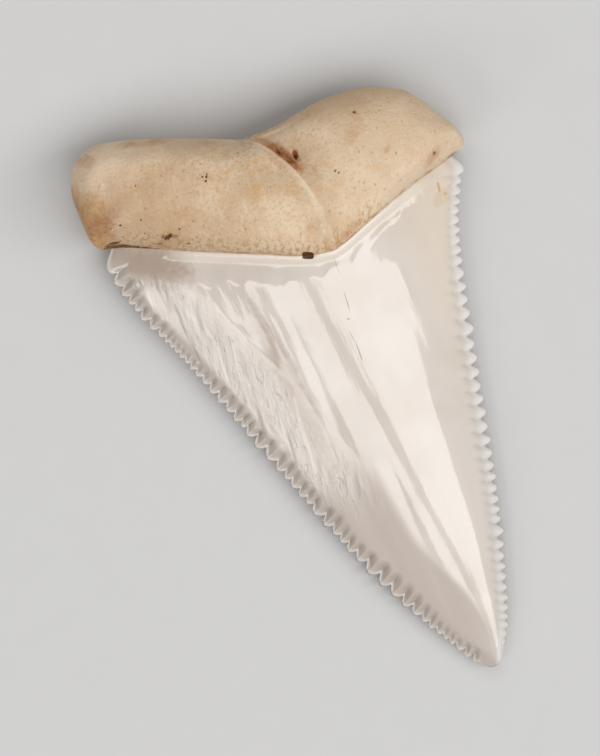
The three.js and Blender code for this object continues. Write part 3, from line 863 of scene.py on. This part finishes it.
def root_bone():
    """Tan, matt root bone: mottled, with fine pores that crowd towards the enamel, brown dirt in the
    fold, and painted light and shade on its lobes, its lip and beside the fold."""
    bone = Recipe("root_bone")
    past = bone.measure("past_enamel")
    past_fold = bone.measure("past_fold")
    clouds = bone.noise(0.22, 5.0, roughness=0.55)
    mottle = bone.noise(0.8, 6.0, roughness=0.65, distortion=0.4)
    grain = bone.noise(4.0, 5.0, roughness=0.7)
    streaks = bone.noise(1.9, 5.0, place=bone.stretched(1.0, 0.3), roughness=0.65)
    low = bone.rise(2.6, 0.1, past) * bone.rise(8.0, 3.0, bone.x)

    tan = bone.blend(colour(207, 180, 148), colour(229, 206, 176), bone.rise(0.38, 0.64, clouds))
    tan = bone.blend(tan, colour(208, 164, 116), bone.rise(0.48, 0.68, mottle) * 0.65)
    tan = bone.blend(tan, colour(236, 220, 198), bone.rise(0.46, 0.28, streaks) * 0.5)
    tan = bone.blend(tan, colour(176, 128, 84), bone.rise(0.6, 0.76, streaks) * (0.2 + low * 0.2))
    tan = bone.blend(tan, colour(190, 150, 110), bone.rise(0.52, 0.64, grain) * 0.5)
    # Painted light: paler just above the enamel line on the right lobe.
    lit_lip = bone.rise(2.2, 0.4, past) * bone.rise(2.0, 6.0, bone.x)
    tan = bone.blend(tan, colour(248, 228, 204), lit_lip * 0.35)
    # Painted light and shade on the lobes: the right lobe lighter and darker along its top, the left
    # lobe darker low down and lighter along its top edge.
    on_left = bone.rise(-1.0, -12.0, bone.x)
    on_right = bone.rise(-1.0, 6.0, bone.x)
    tan = bone.blend(tan, colour(240, 218, 190), on_right * 0.35)
    tan = bone.blend(tan, colour(196, 164, 126), on_right * bone.rise(8.0, 10.5, bone.y) * 0.5)
    tan = bone.blend(tan, colour(192, 158, 122), on_left * bone.rise(13.5, 11.0, bone.y) * 0.5)
    tan = bone.blend(tan, colour(240, 216, 190), on_left * bone.rise(11.5, 14.0, bone.y) * 0.55)
    # Painted light: paler low on the root near the enamel line.
    tan = bone.blend(tan, colour(244, 218, 188), low * 0.4)
    ochre = bone.spots(OCHRE_SPOTS, 0.5, 1.5)
    tan = bone.blend(tan, colour(192, 136, 80), ochre * (0.15 + mottle * 0.8))
    # Grime, and painted shade at the left end of the root.
    grime_and_shade = bone.spots(GRIME_AND_SHADE, 0.5, 2.4)
    tan = bone.blend(tan, colour(142, 90, 54), grime_and_shade * (0.3 + mottle * 0.7))
    worn = bone.rise(0.5, 0.2, bone.noise(0.9, 6.0, roughness=0.75))
    tan = bone.blend(tan, colour(240, 226, 206), worn * 0.4)

    patchy = bone.rise(0.56, 0.68, bone.noise(0.5, 3.0))
    waver = {0: bone.stretched(1.0, 0.5), 1: bone.vague(0.25)}
    wavering = bone.node("VectorMath", {"operation": "ADD"}, waver)
    reach, chance = bone.cells(6.5, place=wavering)
    pores = bone.rise(0.45, 0.1, reach) * bone.rise(0.975, 0.985, chance + low * 0.12 + patchy * 0.04)
    tan = bone.blend(tan, colour(172, 122, 76), pores * 0.45)
    upright = bone.node("VectorRotate", {"rotation_type": "Z_AXIS"}, {0: bone.place, "Angle": 0.43})
    combed = bone.node("VectorMath", {"operation": "MULTIPLY"}, {0: upright, 1: (1.0, 0.3, 0.5)})
    dashes = bone.rise(0.5, 0.62, bone.noise(3.6, 4.0, place=combed, roughness=0.6))
    dashes = dashes * bone.rise(1.9, 0.3, past + (mottle - 0.5) * 2) * bone.rise(7.0, 3.0, bone.x)
    tan = bone.blend(tan, colour(190, 142, 76), dashes * 0.6)
    brown = bone.spots(BROWN_SPOTS, 0.8, 1.0)
    tan = bone.blend(tan, colour(86, 44, 18), brown * (0.5 + grain * 0.8).at_most(1.0))

    right_of_fold = bone.rise(-0.06, 0.06, past_fold)
    dirt = right_of_fold * bone.rise(1.0, 0.35, past_fold + (mottle - 0.5) * 1.2)
    dirt = dirt * bone.rise(7.2, 7.9, bone.y) * bone.rise(10.7, 9.9, bone.y)
    tan = bone.blend(tan, colour(200, 122, 72), dirt * 0.6)
    caked = dirt * bone.rise(0.49, 0.56, bone.noise(2.8, 5.0, roughness=0.75))
    tan = bone.blend(tan, colour(134, 70, 28), caked * 0.5)
    tan = bone.blend(tan, colour(170, 98, 36), bone.spots(HOLE, 0.2, 0.8))
    tan = bone.blend(tan, colour(74, 32, 12), bone.spots(HOLE_SHADE, 0.2, 0.8))
    # Painted shade in the soft valley right of the fold.
    shaded_valley = right_of_fold * bone.rise(1.9, 0.1, past_fold + (streaks - 0.5) * 1.5)
    shaded_valley = shaded_valley * bone.rise(3.5, 7.0, bone.y)
    tan = bone.blend(tan, colour(184, 138, 92), shaded_valley * 0.25)
    # Painted highlight along the overlapping lobe's edge at the fold.
    highlit_fold_lip = bone.rise(-0.6, -0.12, past_fold) * bone.rise(0.03, -0.05, past_fold)
    tan = bone.blend(tan, colour(238, 220, 196), highlit_fold_lip * bone.rise(1.5, 5.0, bone.y) * 0.5)
    # Painted shade in a thin line where the root's lip meets the enamel.
    gap = bone.rise(0.25, 0.02, past) * bone.rise(0.45, 0.6, bone.noise(0.9, 4.0))
    tan = bone.blend(tan, colour(170, 124, 78), gap * 0.6)
    tan = bone.blend(tan, colour(100, 66, 40), bone.spots(NICK, 0.3, 0.8, boxy=True))

    relief = grain * 0.6 + mottle * 0.5 + streaks * 0.6
    normal = bone.bump(relief, 0.2)
    normal = bone.bump(1 - pores * 0.5 - dashes * 0.3 - brown * 0.3 - caked * 0.15, 0.1, normal)
    roughness = 0.6 + grain * 0.25
    return bone.finish(tan, roughness, normal, ROOT_IOR)


def enamel():
    """Warm white, glossy enamel: a collar of its own shade, rougher places, silky wrinkles beside the
    left edge, a few stains and hairline cracks, painted shade along the edges, in the left serration
    hollows, on the left flank near the tip, at the left corner and in a streak down the blade, and
    painted highlights on the right points and the silky band."""
    skin = Recipe("enamel")
    past = 0 - skin.measure("past_enamel")
    from_left = skin.measure("from_left")
    from_right = skin.measure("from_right")
    from_edge = from_left.at_most(from_right)

    clouds = skin.noise(0.16, 3.0)
    fine = skin.noise(1.6, 3.0, place=skin.stretched(1.0, 0.3))
    white = skin.blend(colour(210, 200, 190), colour(219, 210, 202), skin.rise(0.35, 0.65, clouds))
    white = skin.blend(white, colour(224, 209, 190), skin.rise(3.0, 9.0, skin.x) * 0.7)
    share = from_left / (from_left + from_right) - skin.rise(-21.0, -31.5, skin.y) * 0.26
    # Painted shade on the left flank towards the tip, which is also made rougher.
    shaded_flank = skin.rise(0.46, 0.36, share) * skin.rise(-13.0, -18.0, skin.y)
    white = skin.blend(white, colour(186, 173, 163), shaded_flank * 0.9)
    white = skin.blend(white, colour(196, 186, 178), skin.rise(-29.0, -32.5, skin.y) * 0.7)
    # Painted shade: the enamel darkened at its left corner below the root and in a streak down the
    # blade.
    white = skin.blend(white, colour(172, 154, 137), skin.spots(PAINTED_SHADES, 0.3, 1.5) * 0.85)
    collar = skin.rise(0.95, 0.7, past + (fine - 0.5) * 0.3)
    collar = collar * skin.rise(-12.3, -9.3, skin.x) * skin.rise(10.0, 7.0, skin.x)
    white = skin.blend(white, colour(232, 222, 208), collar * 0.8)
    # Painted shade: greyer within 1.5 mm of either cutting edge, and darker in the hollows of the left
    # serrations.
    white = skin.blend(white, colour(202, 196, 190), skin.rise(1.5, 0.3, from_edge) * 0.8)
    shaded_hollows = skin.rise(1.6, 1.0, from_left) * skin.rise(0.15, 0.5, from_left)
    white = skin.blend(white, colour(180, 168, 158), shaded_hollows * 0.7)
    # Painted highlight: the points of the right serrations are made whiter.
    white = skin.blend(white, colour(230, 226, 221), skin.rise(0.9, 0.4, from_right) * 0.8)
    white = skin.blend(white, colour(112, 104, 96), skin.spots(CRACKS, 0.5, 1.0) * 0.75)
    white = skin.blend(white, colour(201, 160, 96), skin.spots(ENAMEL_STAINS) * 0.8)
    seam = skin.rise(0.14, 0.0, past + (fine - 0.5) * 0.2)
    white = skin.blend(white, colour(196, 160, 118), seam * 0.5)
    nick = skin.spots(NICK, 0.3, 0.8, boxy=True)
    white = skin.blend(white, colour(100, 66, 40), nick)

    turned = skin.node("VectorRotate", {"rotation_type": "Z_AXIS"}, {0: skin.place, "Angle": 0.15})
    drawn_out = skin.node("VectorMath", {"operation": "MULTIPLY"}, {0: turned, 1: (1.0, 0.25, 0.2)})
    in_band = skin.rise(0.7, 1.6, from_left) * skin.rise(6.4, 4.6, from_left)
    silky = in_band * skin.rise(-20.0, -15.0, skin.y) * skin.rise(1.6, 2.6, past)
    silky = silky * (0.35 + skin.rise(0.4, 0.56, skin.noise(0.6, 2.0, place=drawn_out)))
    # Painted highlight: the silky band beside the left edge is made paler.
    white = skin.blend(white, colour(232, 224, 216), silky * 0.25)
    wrinkles = skin.noise(2.6, 6.0, place=drawn_out, roughness=0.65, distortion=0.3)
    creases = skin.rise(0.58, 0.66, skin.noise(3.0, 4.0, place=drawn_out))
    streaks = skin.noise(1.1, 4.0, place=skin.stretched(1.0, 0.07, 0.1), roughness=0.6)
    normal = skin.bump(fine, 0.01)
    normal = skin.bump(streaks, 0.018, normal)
    normal = skin.bump(skin.noise(0.9, 3.0, place=drawn_out) * silky, 0.12, normal)
    normal = skin.bump((wrinkles - creases * 0.35) * silky, 0.11, normal)
    roughness = 0.08 + silky * 0.04 + (clouds - 0.5) * 0.05 + collar * 0.2 + shaded_flank * 0.35 + nick * 0.6
    return skin.finish(white, roughness, normal, ENAMEL_IOR)


def dress(piece):
    """Gives a piece its materials, in the order of their slots."""
    piece.data.materials.append(enamel())
    piece.data.materials.append(root_bone())


def plain(name, shade, roughness):
    """One almost even colour, given as shares of white."""
    recipe = Recipe(name)
    cloth = recipe.noise(0.4, 2.0)
    pale = recipe.blend((*shade, 1), (*(part * 0.97 for part in shade), 1), cloth)
    return recipe.finish(pale, roughness, recipe.bump(cloth, 0.001), 1.4)


# The floor, the lights and the camera

FLOOR_REACH = 1.2
LAMP_COLOUR = (1.0, 0.99, 0.98)
ROOM_BRIGHTNESS = 0.3


def add_floor():
    mesh = bpy.data.meshes.new("floor")
    reach = FLOOR_REACH
    corners = [(-reach, -reach, 0), (reach, -reach, 0), (reach, reach, 0), (-reach, reach, 0)]
    mesh.from_pydata(corners, [], [(0, 1, 2, 3)])
    floor = bpy.data.objects.new("floor", mesh)
    bpy.context.scene.collection.objects.link(floor)
    floor.data.materials.append(plain("floor", (0.6, 0.6, 0.6), 0.9))


def add_softbox(name, height, sides, ends, brightness):
    """A lit panel that faces down. sides and ends say how many degrees from straight above the
    tooth its edges stand, to the left and right and towards the tip and the root."""
    left, right = (height * math.tan(math.radians(angle)) for angle in sides)
    near, far = (height * math.tan(math.radians(angle)) for angle in ends)
    light = bpy.data.lights.new(name, "AREA")
    light.shape = "RECTANGLE"
    light.size, light.size_y = right - left, far - near
    light.energy = brightness * math.pi * light.size * light.size_y
    light.color = LAMP_COLOUR
    lamp = bpy.data.objects.new(name, light)
    bpy.context.scene.collection.objects.link(lamp)
    lamp.location = ((left + right) / 2, (near + far) / 2, height)


PIXELS_PER_MM = 13.0
PICTURE_HEIGHT = 756  # in pixels
SENSOR_HEIGHT = 24
VIEW_CENTRE = (-4.39, 1.82)  # of the picture, on the tooth, in millimetres from its origin
PICTURE_TURN = -24.59  # degrees that the picture is turned against the tooth
CAMERA_HEIGHT = 1.0
EDGE_LEVEL = 2.0 * MM  # the height at which the scale holds


def add_camera():
    """Straight above the tooth, turned as the photograph is."""
    data = bpy.data.cameras.new("camera")
    data.sensor_fit = "VERTICAL"
    data.sensor_height = SENSOR_HEIGHT
    view_height = PICTURE_HEIGHT / PIXELS_PER_MM * MM
    data.lens = data.sensor_height * (CAMERA_HEIGHT - EDGE_LEVEL) / view_height
    camera = bpy.data.objects.new("camera", data)
    bpy.context.scene.collection.objects.link(camera)
    camera.location = (VIEW_CENTRE[0] * MM, VIEW_CENTRE[1] * MM, CAMERA_HEIGHT)
    camera.rotation_euler = (0, 0, math.radians(PICTURE_TURN))
    bpy.context.scene.camera = camera


def add_lights():
    """Panels whose reflections in the enamel are the bright shapes on the crown."""
    add_softbox("over_right", 1.3, (-18, 60), (-40, -7), 3.3)
    add_softbox("left_strip", 0.9, (-44.5, -31), (-40, -7), 3.4)
    add_softbox("far_left", 0.7, (-60, -51), (-34, -6), 3.6)
    add_softbox("behind", 1.0, (-35, 45), (30, 62), 0.9)
    world = bpy.data.worlds.new("studio")
    world.use_nodes = True
    room = world.node_tree.nodes["Background"]
    room.inputs["Color"].default_value = (1, 1, 1, 1)
    room.inputs["Strength"].default_value = ROOM_BRIGHTNESS
    bpy.context.scene.world = world
    bpy.context.scene.view_settings.view_transform = "Standard"


tooth = make_tooth()
dress(tooth)
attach(tooth, "root")
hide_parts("tooth")
add_floor()
add_lights()
add_camera()
